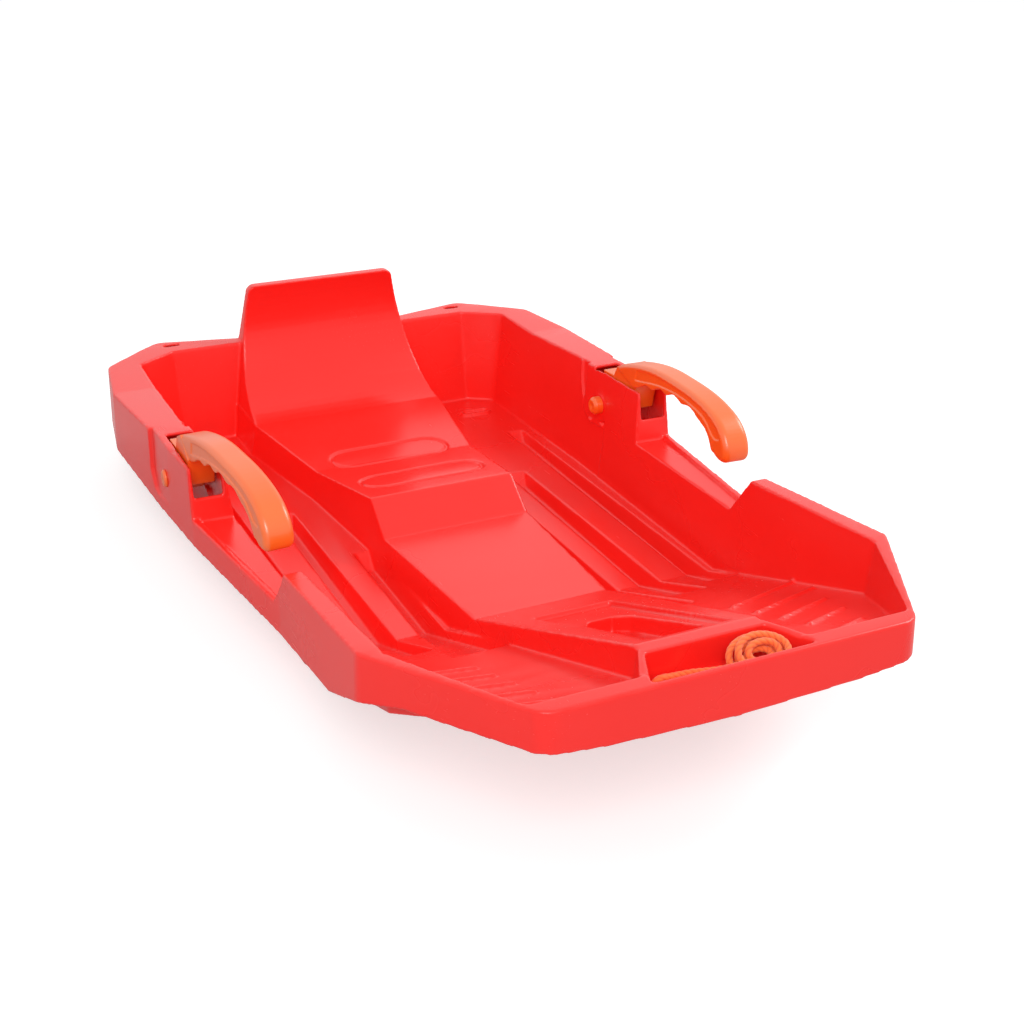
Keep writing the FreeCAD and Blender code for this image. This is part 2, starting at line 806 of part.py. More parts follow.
def housing_waste(left):
    """Slot in the top of the rim, opening over the sill, pin holes and the flats round them."""
    low, high = lever_y(lever_width + 2 * slot_gap)
    floor = housing_front_height - slot_depth
    ahead = notch_rear_x + wall
    profile = [(slot_rear_x, ceiling), (ahead, ceiling), (ahead, sill_height),
               (housing_front_x - overrun / 2, sill_height), (housing_front_x - overrun / 2, floor),
               (slot_rear_x, floor)]
    points = [vec(x, low, z) for x, z in profile]
    slot = Part.Face(Part.makePolygon(points + points[:1])).extrude(vec(0, high - low, 0))
    flat = cross_cylinder(pivot_x, pivot_z, pad_radius, outer_pad_y, outer_pad_y + overrun)
    inner_flat = cross_cylinder(pivot_x, pivot_z, pad_radius, inner_pad_y - overrun, inner_pad_y)
    hole = cross_cylinder(pivot_x, pivot_z, pin_radius, inner_pad_y - overrun, outer_pad_y + overrun)
    parts = [slot, flat, inner_flat, hole]
    return parts if left else [mirrored(part) for part in parts]


def hitch_slots():
    slot = slot_prism(hitch_x, hitch_y, (hitch_length - hitch_width) / 2, hitch_width / 2,
                      rim_rear_height - 2 * wall, rim_rear_height + wall)
    return [slot, mirrored(slot)]


def rope_holes():
    radius = rope_diameter / 2 + rope_hole_gap
    return [Part.makeCylinder(radius, 2 * wall, vec(x, y, tray_floor_height - wall - wall / 2))
            for x, y in (near_hole, tail_hole)]


def hull():
    shell = under_surface(0).cut(under_surface(wall))
    shell = shell.cut(skirt_waste())
    front = front_end_x
    tray_link = box(tray_front_x + wall / 2, front - wall / 2, -tray_rear_half_width, tray_rear_half_width,
                    tray_floor_height - wall, bridge_end_height - wall / 2)
    added = [tray_link] + tread_ribs() + floor_rings()
    added += [notch_lips()] + housing_fittings(True) + housing_fittings(False)
    shell = shell.fuse(added)
    waste = housing_waste(True) + housing_waste(False) + hitch_slots() + rope_holes() + seat_rings()
    return shell.cut(waste).removeSplitter()


def profile_slab(points, middle, width):
    """Slab lying across the hull with a side profile."""
    corners = [vec(x, middle - width / 2, z) for x, z in points]
    face = Part.Face(Part.makePolygon(corners + corners[:1]))
    return face.extrude(vec(0, width, 0))


def smooth_line(points, y):
    """Smooth curve through side-view points."""
    curve = Part.BSplineCurve()
    curve.interpolate([vec(x, y, z) for x, z in points])
    return curve.toShape()


def straight(start, end, y):
    return Part.makeLine(vec(start[0], y, start[1]), vec(end[0], y, end[1]))


def placed(shares):
    """Side-view points of the grip from their shares of its length and height."""
    return [(grip_rear_x + grip_length * u, grip_foot_z + grip_height * v) for u, v in shares]


def closed_slab(top, under, y, width):
    """Slab between two smooth lines that are joined by straight ends."""
    edges = [smooth_line(top, y), straight(top[-1], under[0], y)]
    edges += [smooth_line(under, y), straight(under[-1], top[0], y)]
    return Part.Face(Part.Wire(edges)).extrude(vec(0, width, 0))


def grip():
    """Curved grip with finger hollows underneath and a shallow panel in each side; it turns in towards the bow."""
    y = lever_middle - grip_width / 2
    top = placed(grip_top_shares)[1:]
    end = placed(grip_end_shares)
    under = placed(grip_under_shares)
    edges = [smooth_line(top, y), smooth_line([top[-1]] + end, y), straight(end[-1], under[0], y)]
    edges += [smooth_line(under, y), straight(under[-1], top[0], y)]
    slab = Part.Face(Part.Wire(edges)).extrude(vec(0, grip_width, 0))
    along = [e for e in slab.Edges if e.BoundBox.YLength < running_gap and e.BoundBox.XLength > grip_length / 2]
    upper = [e for e in along if e.BoundBox.ZMax > grip_foot_z + grip_height - grip_edge_radius / 2]
    slab = slab.makeFillet(grip_edge_radius, upper)
    panel_top, panel_under = placed(side_panel_top_shares), placed(side_panel_under_shares)
    for panel_y in (y, y + grip_width - side_panel_depth):
        slab = slab.cut(closed_slab(panel_top, panel_under, panel_y, side_panel_depth))
    slab.rotate(vec(top[0][0], lever_middle, 0), vec(0, 0, 1), -grip_turn)
    return slab


def brake_arm():
    """Arm with a bent claw that digs into the snow when the grip is pulled up."""
    dx, dz = pivot_x - arm_tip_x, pivot_z - arm_tip_z
    length = math.hypot(dx, dz)
    along = (-dx / length, -dz / length)
    across = (-along[1], along[0])

    def at(distance, side):
        return (pivot_x + along[0] * distance + across[0] * side, pivot_z + along[1] * distance + across[1] * side)

    bend = length - claw_length
    points = [at(0, -arm_root_half_depth), at(bend, -arm_tip_half_depth), at(length, -arm_tip_half_depth / 2),
              at(length, claw_drop), at(bend, arm_tip_half_depth), at(0, arm_root_half_depth)]
    return profile_slab(points, arm_middle, arm_width)


def brake_lever():
    top, under = placed(grip_top_shares), placed(grip_under_shares)
    web = top[:3] + under[-1:] + placed(leg_shares)
    web += [(pivot_x, pivot_z - hub_radius / 2), (pivot_x - hub_radius / 2, pivot_z)]
    web += [(tail_x + tail_thickness, tail_height - tail_thickness), (tail_x, tail_height - tail_thickness)]
    web += [(tail_x, tail_height)]
    low, high = lever_y(lever_width)
    lever = profile_slab(web, lever_middle, lever_width)
    relief = box(tail_x - wall, top[0][0], low - wall, low + tail_relief, pivot_z + hub_radius, ceiling)
    lever = lever.cut(relief)
    lever = lever.fuse([cross_cylinder(pivot_x, pivot_z, hub_radius, low, high), brake_arm(), grip()])
    bore = cross_cylinder(pivot_x, pivot_z, pin_radius + running_gap, low - wall, high + wall)
    return lever.cut(bore).removeSplitter()


def turned_across(profile):
    """Round piece on the pivot axis, from a half profile of distances along Y and radii."""
    points = [vec(pivot_x, y, pivot_z + r) for y, r in profile]
    face = Part.Face(Part.makePolygon(points + points[:1]))
    return face.revolve(vec(pivot_x, 0, pivot_z), vec(0, 1, 0), math.degrees(2 * math.pi))


def pivot_pin():
    """Pin with a dished head outside; its plain end stands in the cap inside the tub."""
    face_y = outer_pad_y
    crown = face_y + pin_head_height
    tip = inner_pad_y - cap_socket_depth
    return turned_across([
        (tip, 0), (tip, pin_radius), (face_y, pin_radius), (face_y, pin_head_radius),
        (crown - pin_dish, pin_head_radius), (crown, pin_head_radius - pin_dish), (crown, pin_radius - pin_dish),
        (crown - pin_dish / 2, 0),
    ])


def pin_cap():
    """Press-on cap that closes the pin inside the tub."""
    bed = inner_pad_y - cap_socket_depth
    crown = inner_pad_y - cap_height
    return turned_across([
        (inner_pad_y, pin_radius), (inner_pad_y, cap_radius), (crown + cap_rounding, cap_radius),
        (crown, cap_radius - cap_rounding), (crown, pin_radius), (crown + pin_dish, 0), (bed, 0), (bed, pin_radius),
    ])


def swept(path, radius):
    """Round tube along a wire that starts at its first edge's first point."""
    first = path.Edges[0]
    start = first.valueAt(first.FirstParameter)
    heading = first.tangentAt(first.FirstParameter)
    ring = Part.Wire(Part.makeCircle(radius, start, heading))
    return path.makePipeShell([ring], True, False)


def rope_wire(points):
    """Straight runs joined by arcs that touch both, and the radius of each arc."""
    places = [FreeCAD.Vector(point) for point in points]
    edges = []
    radii = []
    start = places[0]
    for before, corner, after in zip(places, places[1:], places[2:]):
        coming = (corner - before).normalize()
        going = (after - corner).normalize()
        half_turn = coming.getAngle(going) / 2
        setback = bend_share * min((corner - before).Length, (after - corner).Length)
        radii.append(setback / math.tan(half_turn))
        enter, leave = corner - coming * setback, corner + going * setback
        bisector = (going - coming).normalize()
        to_centre = radii[-1] / math.cos(half_turn)
        middle = corner + bisector * (to_centre - radii[-1])
        edges += [Part.makeLine(start, enter), arc_through(enter, middle, leave)]
        start = leave
    edges.append(Part.makeLine(start, places[-1]))
    return Part.Wire(edges), radii


def coil_runs():
    """Straight runs of the coil: side, distance from the middle line, and layer."""
    runs = []
    for layer, steps in enumerate(coil_half_pitches):
        for step in steps:
            side = 1 if len(runs) % 2 == 0 else -1
            runs.append((side, coil_inner_half + step * coil_pitch / 2, layer))
    return runs


def coil_place(across, y, level):
    """Place in the tilted coil, from distances across its turns and up its layers."""
    outer = max(half for side, half, layer in coil_runs())
    slant = math.radians(coil_tilt)
    lift = outer * math.sin(slant)
    up = level * coil_layer_pitch
    z = tray_floor_height + rope_diameter / 2 + rope_gap + lift
    return vec(coil_middle_x + across * math.cos(slant) + up * math.sin(slant), y,
               z - across * math.sin(slant) + up * math.cos(slant))


def coil_wire():
    """Piled loops, spiralling in and out, one layer after the other."""
    runs = coil_runs()
    edges = []
    forward = vec(0, 1, 0)
    place = coil_place(runs[0][1], tail_end_y, 0)
    for (side, half, layer), (next_side, next_half, next_layer) in zip(runs, runs[1:]):
        heading = forward * -side
        shift = 0
        if next_layer != layer:
            shift = coil_pitch / 4 if half > coil_inner_half else -coil_pitch / 4
        turn_y = coil_middle_y - side * (coil_straight / 2 + shift)
        enter = coil_place(side * half, turn_y, layer)
        leave = coil_place(next_side * next_half, turn_y, next_layer)
        edges.append(Part.makeLine(place, enter))
        edges += biarc(enter, heading, leave, heading * -1)
        place = leave
    edges.append(Part.makeLine(place, coil_end()))
    return Part.Wire(edges)


def coil_end():
    """Where the coil's last run leaves it towards the near hole."""
    side, half, layer = coil_runs()[-1]
    return coil_place(side * half, coil_middle_y - side * (coil_straight / 2 + coil_lead), layer)


def biarc(start, heading, end, leaving):
    """Two arcs that leave one place along a heading and reach another along a second heading."""
    v = end - start
    t = heading + leaving
    a = 2 * (1 - heading.dot(leaving))
    b = 2 * v.dot(t)
    reach = (-b + math.sqrt(b ** 2 + 4 * a * v.dot(v))) / (2 * a)
    q0, q1 = start + heading * reach, end - leaving * reach
    joint = (q0 + q1) / 2

    def arc(p, q, r):
        coming, going = (q - p).normalize(), (r - q).normalize()
        half_turn = coming.getAngle(going) / 2
        radius = (q - p).Length / math.tan(half_turn)
        bisector = (going - coming).normalize()
        return arc_through(p, q + bisector * (radius / math.cos(half_turn) - radius), r)

    return [arc(start, q0, joint), arc(joint, q1, end)]


def knot(x, y):
    """Round stopper knot drawn up under the tray floor, flat where it bears."""
    top = tray_floor_height - wall
    centre = top - knot_radius + rope_gap * knot_radius
    ball = Part.makeSphere(knot_radius, vec(x, y, centre))
    return ball.common(box(x - deep, x + deep, y - deep, y + deep, top - deep, top))


def wire_gap(points, lead):
    """Least distance between parts of the coil that aren't next to each other along it."""
    step = (points[1] - points[0]).Length
    skip = int(lead / step) + 1
    return min((points[i] - points[j]).Length for i in range(len(points)) for j in range(i + skip, len(points)))


rope_radius = rope_diameter / 2
knot_top = tray_floor_height - wall
near_start = coil_end()
near_lead = (near_start.x, near_lead_y, near_start.z)
near_path, near_radii = rope_wire([near_start, near_lead] + near_route + [(near_hole[0], near_hole[1], knot_top)])
tail_end = coil_place(coil_runs()[0][1], tail_end_y, 0)
tail_lead = (tail_end.x, tail_lead_y, tail_end.z)
tail_path, tail_radii = rope_wire([(tail_hole[0], tail_hole[1], knot_top)] + tail_route + [tail_lead, tail_end])
coil_path = coil_wire()
left_lever, left_pin, left_cap = brake_lever(), pivot_pin(), pin_cap()

pieces = {
    "hull": hull(),
    "brake_lever_left": left_lever,
    "brake_lever_right": mirrored(left_lever),
    "pivot_pin_left": left_pin,
    "pivot_pin_right": mirrored(left_pin),
    "pin_cap_left": left_cap,
    "pin_cap_right": mirrored(left_cap),
    "tow_rope": swept(near_path, rope_radius),
    "tow_rope_coil": swept(coil_path, rope_radius),
    "tow_rope_tail": swept(tail_path, rope_radius),
    "rope_knot_near": knot(*near_hole),
    "rope_knot_far": knot(*tail_hole),
}

os.makedirs("parts", exist_ok=True)
for name, shape in pieces.items():
    shape.exportStep(f"parts/{name}.step")
    print(name, round(shape.Volume, 1), shape.ShapeType, len(shape.Solids), shape.isValid(), shape.BoundBox)
section = math.pi * rope_radius ** 2
for name, path in (("tow_rope", near_path), ("tow_rope_coil", coil_path), ("tow_rope_tail", tail_path)):
    print(name, "length", round(path.Length, 1), "volume over section", round(pieces[name].Volume / section, 1))
print("bend radii", [round(r, 1) for r in near_radii], [round(r, 1) for r in tail_radii])
print("coil gap to itself", round(wire_gap(coil_path.discretize(Distance=1.0), 3 * rope_diameter) - rope_diameter, 2))
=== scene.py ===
"""Looks of a child's snow sled with two hand brakes and a tow rope, in metres, in the frame of its solids."""
import logging
import math
from dataclasses import dataclass, field
from enum import Enum

import bmesh
import bpy
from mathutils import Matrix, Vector
from mathutils.bvhtree import BVHTree


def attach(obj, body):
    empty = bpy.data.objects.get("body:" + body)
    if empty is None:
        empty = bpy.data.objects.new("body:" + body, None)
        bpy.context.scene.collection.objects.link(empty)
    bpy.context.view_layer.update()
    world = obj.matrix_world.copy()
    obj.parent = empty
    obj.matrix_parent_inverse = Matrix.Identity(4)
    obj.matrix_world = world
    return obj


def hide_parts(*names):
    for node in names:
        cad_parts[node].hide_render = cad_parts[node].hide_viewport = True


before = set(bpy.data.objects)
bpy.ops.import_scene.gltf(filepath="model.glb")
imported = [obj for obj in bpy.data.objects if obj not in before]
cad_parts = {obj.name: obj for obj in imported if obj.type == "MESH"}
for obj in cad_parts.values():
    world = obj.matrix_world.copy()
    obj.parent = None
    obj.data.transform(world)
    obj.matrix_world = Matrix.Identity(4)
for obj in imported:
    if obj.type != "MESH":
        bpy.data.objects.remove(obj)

log = logging.getLogger("sled")
Colour = tuple[float, float, float]
Point = tuple[float, float, float]
Band = tuple[float, float]

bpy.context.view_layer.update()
WHITE = (1.0, 1.0, 1.0)


class Side(Enum):
    """Side of the sled, and the direction of that side along Y."""

    LEFT = 1
    RIGHT = -1

    @property
    def word(self) -> str:
        """Name that the side has in the pieces."""
        return self.name.lower()


def placed(name: str, data: bpy.types.ID) -> bpy.types.Object:
    """Adds an object to the scene.

    Args:
        name: name of the object.
        data: its mesh, curve, camera or lamp.

    Returns:
        The object, at the origin.
    """
    holder = bpy.data.objects.new(name, data)
    bpy.context.scene.collection.objects.link(holder)
    return holder


def only_selected(piece: bpy.types.Object) -> None:
    """Makes a piece the only selected and active object.

    Args:
        piece: the piece.
    """
    bpy.ops.object.select_all(action="DESELECT")
    piece.select_set(True)
    bpy.context.view_layer.objects.active = piece


def apply_modifiers(piece: bpy.types.Object) -> None:
    """Applies all of a piece's modifiers in order.

    Args:
        piece: the piece.
    """
    only_selected(piece)
    for modifier in list(piece.modifiers):
        bpy.ops.object.modifier_apply(modifier=modifier.name)


def direction(line: list[Vector], index: int) -> Vector:
    """Direction of a line at one of its points, from the point before it to the point after."""
    return line[min(index + 1, len(line) - 1)] - line[max(index - 1, 0)]


def opaque(colour: Colour) -> tuple[float, float, float, float]:
    """Colour as a node takes it, with full opacity."""
    return (*colour, 1.0)


def new_group(name: str, inputs: tuple[str, ...], outputs: tuple[str, ...]) -> bpy.types.ShaderNodeTree:
    """Starts a shader node group that reads coordinates and some values and gives others.

    Args:
        name: name of the group.
        inputs: names of the values that it reads beside Vector.
        outputs: names of the values that it gives.

    Returns:
        The group, with its sockets and no nodes.
    """
    group = bpy.data.node_groups.new(name, "ShaderNodeTree")
    group.interface.new_socket(name="Vector", in_out="INPUT", socket_type="NodeSocketVector")
    for way, names in (("INPUT", inputs), ("OUTPUT", outputs)):
        for socket in names:
            group.interface.new_socket(name=socket, in_out=way, socket_type="NodeSocketFloat")
    return group


def linked(tree: bpy.types.ShaderNodeTree, kind: str, inputs: dict[str | int, object] | None = None,
           **settings: object) -> bpy.types.Node:
    """Adds a node, sets it up and links or fills its inputs.

    Args:
        tree: node tree that gets the node.
        kind: node type.
        inputs: value or socket for each input.
        settings: attributes of the node.

    Returns:
        The new node.
    """
    node = tree.nodes.new(kind)
    for name, value in settings.items():
        setattr(node, name, value)
    for key, value in (inputs or {}).items():
        if isinstance(value, bpy.types.NodeSocket):
            tree.links.new(value, node.inputs[key])
        else:
            node.inputs[key].default_value = value
    return node


def maths(tree: bpy.types.ShaderNodeTree, operation: str, *values: object) -> bpy.types.NodeSocket:
    """Adds a Math node.

    Args:
        tree: node tree that gets the node.
        operation: what it works out.
        values: its inputs in order, each a number or a socket.

    Returns:
        The node's output.
    """
    return linked(tree, "ShaderNodeMath", dict(enumerate(values)), operation=operation).outputs[0]


def noise(tree: bpy.types.ShaderNodeTree, place: bpy.types.NodeSocket, scale: object,
          detail: float) -> bpy.types.NodeSocket:
    """Adds a Noise Texture node.

    Args:
        tree: node tree that gets the node.
        place: coordinates that it reads.
        scale: number or socket for the fineness of the noise.
        detail: number of finer layers in the noise.

    Returns:
        The node's value.
    """
    inputs = {"Vector": place, "Scale": scale, "Detail": detail}
    return linked(tree, "ShaderNodeTexNoise", inputs).outputs["Fac"]


def spread(tree: bpy.types.ShaderNodeTree, value: bpy.types.NodeSocket, band: Band) -> bpy.types.NodeSocket:
    """Adds a Map Range node that spreads a band of a value over 0 to 1.

    Args:
        tree: node tree that gets the node.
        value: the value.
        band: lower and upper end of the band.

    Returns:
        The node's output.
    """
    return linked(tree, "ShaderNodeMapRange", {0: value, 1: band[0], 2: band[1]}).outputs[0]


def mixed(tree: bpy.types.ShaderNodeTree, share: bpy.types.NodeSocket, first: object,
          second: object) -> bpy.types.NodeSocket:
    """Adds a Mix node for two colours.

    Args:
        tree: node tree that gets the node.
        share: share of the second colour.
        first: colour or socket.
        second: colour or socket.

    Returns:
        The mixed colour.
    """
    return linked(tree, "ShaderNodeMix", {0: share, 6: first, 7: second}, data_type="RGBA").outputs[2]


def bumped(tree: bpy.types.ShaderNodeTree, height: bpy.types.NodeSocket, strength: float,
           distance: float) -> bpy.types.NodeSocket:
    """Adds a Bump node.

    Args:
        tree: node tree that gets the node.
        height: height that changes over the surface.
        strength: strength of the bump.
        distance: height in metres that a value of 1 stands for.

    Returns:
        The bumped normal.
    """
    inputs = {"Height": height, "Strength": strength, "Distance": distance}
    return linked(tree, "ShaderNodeBump", inputs).outputs[0]


@dataclass(frozen=True)
class MouldedSkin:
    """Pattern of moulded plastic: slow waves, fine grain, faint handling scratches and cloudy gloss."""

    wave_detail: float = 2.0
    grain_detail: float = 1.0
    grain_height: float = 0.05
    scratch_stretch: Point = (9.0, 160.0, 160.0)
    scratch_scale: float = 3.0
    scratch_detail: float = 3.0
    scratch_band: Band = (0.66, 0.72)
    scratch_depth: float = 0.06
    cloud_scale: float = 5.0
    cloud_detail: float = 4.0
    cloud_band: Band = (0.3, 0.7)
    cloud_roughness: float = 0.07

    def build(self) -> bpy.types.ShaderNodeTree:
        """Makes the shader node group.

        Returns:
            Group with Vector, Wave scale, Grain scale and Scratch inputs, and Height, Roughness and Cloud
            outputs.
        """
        group = new_group("moulded_skin", ("Wave scale", "Grain scale", "Scratch"),
                          ("Height", "Roughness", "Cloud"))
        given = group.nodes.new("NodeGroupInput").outputs
        end = group.nodes.new("NodeGroupOutput").inputs
        place = given["Vector"]
        wave = noise(group, place, given["Wave scale"], self.wave_detail)
        grain = noise(group, place, given["Grain scale"], self.grain_detail)
        bumpy = maths(group, "ADD", wave, maths(group, "MULTIPLY", grain, self.grain_height))
        stretched = linked(group, "ShaderNodeMapping", {"Vector": place, "Scale": self.scratch_stretch})
        streaks = noise(group, stretched.outputs[0], self.scratch_scale, self.scratch_detail)
        scratch = maths(group, "MULTIPLY", spread(group, streaks, self.scratch_band), given["Scratch"])
        cloud = spread(group, noise(group, place, self.cloud_scale, self.cloud_detail), self.cloud_band)
        group.links.new(maths(group, "MULTIPLY_ADD", scratch, -self.scratch_depth, bumpy), end["Height"])
        group.links.new(maths(group, "MULTIPLY_ADD", cloud, self.cloud_roughness, scratch), end["Roughness"])
        group.links.new(cloud, end["Cloud"])
        return group


@dataclass(frozen=True)
class EdgeWear:
    """Pattern of paler, rubbed edges, broken up by noise."""

    edge_band: Band = (0.51, 0.6)
    patch_detail: float = 5.0
    patch_band: Band = (0.4, 0.65)

    def build(self) -> bpy.types.ShaderNodeTree:
        """Makes the shader node group.

        Returns:
            Group with Vector, Break-up and Amount inputs and a Wear output.
        """
        group = new_group("edge_wear", ("Break-up", "Amount"), ("Wear",))
        given = group.nodes.new("NodeGroupInput").outputs
        end = group.nodes.new("NodeGroupOutput").inputs
        pointed = group.nodes.new("ShaderNodeNewGeometry").outputs["Pointiness"]
        patches = noise(group, given["Vector"], given["Break-up"], self.patch_detail)
        rubbed = maths(group, "MULTIPLY", spread(group, pointed, self.edge_band),
                       spread(group, patches, self.patch_band))
        group.links.new(maths(group, "MULTIPLY", rubbed, given["Amount"]), end["Wear"])
        return group


@dataclass(frozen=True)
class MouldedPlastic:
    """Gloss plastic as it comes out of the mould, with light use on it."""

    name: str
    colour: Colour
    deep_colour: Colour
    worn_colour: Colour
    roughness: float
    wave_scale: float
    grain_scale: float
    scratch: float
    bump: float
    wear: float
    gloss: float = 0.42
    break_up: float = 60.0
    bump_distance: float = 0.002

    def build(self, skin: bpy.types.ShaderNodeTree, wear: bpy.types.ShaderNodeTree) -> bpy.types.Material:
        """Makes the material.

        Args:
            skin: node group of the moulded skin.
            wear: node group of the rubbed edges.

        Returns:
            The material.
        """
        material = bpy.data.materials.new(self.name)
        material.use_nodes = True
        tree = material.node_tree
        shader = tree.nodes["Principled BSDF"].inputs
        place = tree.nodes.new("ShaderNodeTexCoord").outputs["Object"]
        skin_inputs = {"Vector": place, "Wave scale": self.wave_scale, "Grain scale": self.grain_scale,
                       "Scratch": self.scratch}
        surface = linked(tree, "ShaderNodeGroup", skin_inputs, node_tree=skin).outputs
        wear_inputs = {"Vector": place, "Break-up": self.break_up, "Amount": self.wear}
        rubbed = linked(tree, "ShaderNodeGroup", wear_inputs, node_tree=wear).outputs["Wear"]
        body = mixed(tree, surface["Cloud"], opaque(self.deep_colour), opaque(self.colour))
        colour = mixed(tree, rubbed, body, opaque(self.worn_colour))
        bump = bumped(tree, surface["Height"], self.bump, self.bump_distance)
        tree.links.new(colour, shader["Base Color"])
        tree.links.new(maths(tree, "ADD", surface["Roughness"], self.roughness), shader["Roughness"])
        tree.links.new(bump, shader["Normal"])
        shader["Specular IOR Level"].default_value = self.gloss
        return material


@dataclass(frozen=True)
class LaidCord:
    """Synthetic rope: twisted strands of fine yarn with a little fuzz, and painted shade in the grooves
    between them.
    """

    name: str
    colour: Colour
    # darker colour: painted shade in the grooves between the strands, also used for the fuzz's mottling
    fuzz_and_groove_shade_colour: Colour
    roughness: float
    yarns_round: float
    yarns_along: float
    yarn_slant: float = 0.6
    yarn_wobble: float = 0.6
    yarn_detail: float = 1.0
    fuzz_scale: float = 2.2
    fuzz_detail: float = 4.0
    fuzz_shade: float = 0.45
    shade_band: Band = (0.15, 1.2)
    bump: float = 0.5
    bump_distance: float = 0.0002
    sheen: float = 0.25

    def build(self) -> bpy.types.Material:
        """Makes the material, which reads the rope's own UV map: once round it, and along it in metres.

        Returns:
            The material.
        """
        material = bpy.data.materials.new(self.name)
        material.use_nodes = True
        tree = material.node_tree
        shader = tree.nodes["Principled BSDF"].inputs
        place = linked(tree, "ShaderNodeUVMap", uv_map="rope").outputs[0]
        yarn_map = {"Vector": place, "Scale": (self.yarns_round, self.yarns_along, 1.0),
                    "Rotation": (0.0, 0.0, self.yarn_slant)}
        yarns = linked(tree, "ShaderNodeMapping", yarn_map).outputs[0]
        waves = {"Vector": yarns, "Scale": 1.0, "Distortion": self.yarn_wobble, "Detail": self.yarn_detail}
        yarn = linked(tree, "ShaderNodeTexWave", waves).outputs["Fac"]
        fuzz = noise(tree, yarns, self.fuzz_scale, self.fuzz_detail)
        # Painted shade: the colour turns darker in the grooves between the strands, mottled a little by the
        # fuzz
        groove = linked(tree, "ShaderNodeAttribute", attribute_name="groove").outputs["Fac"]
        fuzz_and_groove_shade = spread(tree, maths(tree, "MULTIPLY_ADD", fuzz, self.fuzz_shade, groove), self.shade_band)
        colour = mixed(tree, fuzz_and_groove_shade, opaque(self.colour), opaque(self.fuzz_and_groove_shade_colour))
        bump = bumped(tree, maths(tree, "ADD", yarn, fuzz), self.bump, self.bump_distance)
        tree.links.new(colour, shader["Base Color"])
        tree.links.new(bump, shader["Normal"])
        shader["Roughness"].default_value = self.roughness
        shader["Sheen Weight"].default_value = self.sheen
        return material


HULL_RED = MouldedPlastic(
    name="hull_red", colour=(0.94, 0.021, 0.016), deep_colour=(0.89, 0.017, 0.012),
    worn_colour=(0.97, 0.1, 0.09), roughness=0.22, wave_scale=9.0, grain_scale=1300.0, scratch=0.01,
    bump=0.12, wear=0.5)
BRAKE_ORANGE = MouldedPlastic(
    name="brake_orange", colour=(0.94, 0.15, 0.012), deep_colour=(0.88, 0.12, 0.008),
    worn_colour=(1.0, 0.36, 0.18), roughness=0.26, wave_scale=18.0, grain_scale=2200.0, scratch=0.05,
    bump=0.1, wear=0.6, gloss=0.9)
# the rope's second colour is painted shade for the grooves between the strands
ROPE_ORANGE = LaidCord(
    name="rope_orange", colour=(1.0, 0.185, 0.03), fuzz_and_groove_shade_colour=(0.80, 0.085, 0.012), roughness=0.62,
    yarns_round=9.0, yarns_along=260.0)


@dataclass
class WallBead:
    """Low bead on the inner side of both walls, round the place where the pin goes through.

    Its outline is a chain of X and Z places, and each rounding cuts all its corners once more.
    """

    outline: tuple[tuple[float, float], ...] = (
        (-0.1700, 0.1220), (-0.1640, 0.0906), (-0.1550, 0.0767), (-0.1465, 0.0645), (-0.1310, 0.0612),
        (-0.1120, 0.0625))
    radius: float = 0.0022
    sides: int = 10
    rounding: int = 4
    corner_cut: float = 0.25

    def line(self, wall: BVHTree, side: Side) -> list[Vector]:
        """Points of the bead's line on the wall's surface, with its corners rounded.

        Args:
            wall: the hull's faces.
            side: wall that it runs along.

        Returns:
            The points.
        """
        corners = [Vector((x, 0.0, z)) for x, z in self.outline]
        for _ in range(self.rounding):
            cut = [corners[0]]
            for before, after in zip(corners, corners[1:]):
                cut += [before.lerp(after, self.corner_cut), before.lerp(after, 1.0 - self.corner_cut)]
            corners = cut + [corners[-1]]
        hits = (wall.ray_cast(corner, Vector((0.0, side.value, 0.0)))[0] for corner in corners)
        return [hit for hit in hits if hit is not None]

    def add_tube(self, shape: bmesh.types.BMesh, line: list[Vector]) -> None:
        """Adds a closed round tube along a line.

        Args:
            shape: mesh that gets the tube.
            line: points of the tube's middle.
        """
        outward = Vector((0.0, 1.0, 0.0))
        angles = [2 * math.pi * step / self.sides for step in range(self.sides)]
        rings = []
        for index, place in enumerate(line):
            beside = direction(line, index).cross(outward).normalized()
            spokes = [beside * math.cos(angle) + outward * math.sin(angle) for angle in angles]
            rings.append([shape.verts.new(place + self.radius * spoke) for spoke in spokes])
        faces = [shape.faces.new(rings[0]), shape.faces.new(rings[-1][::-1])]
        for ring, after in zip(rings, rings[1:]):
            for step in range(self.sides):
                nxt = (step + 1) % self.sides
                faces.append(shape.faces.new((ring[step], after[step], after[nxt], ring[nxt])))
        bmesh.ops.recalc_face_normals(shape, faces=faces)

    def add_to(self, piece: bpy.types.Object) -> None:
        """Adds the beads to a mesh as closed tubes, which an even grid then joins with the walls.

        Args:
            piece: the hull's piece.
        """
        wall = BVHTree.FromObject(piece, bpy.context.evaluated_depsgraph_get())
        shape = bmesh.new()
        shape.from_mesh(piece.data)
        for side in Side:
            self.add_tube(shape, self.line(wall, side))
        shape.to_mesh(piece.data)
        shape.free()


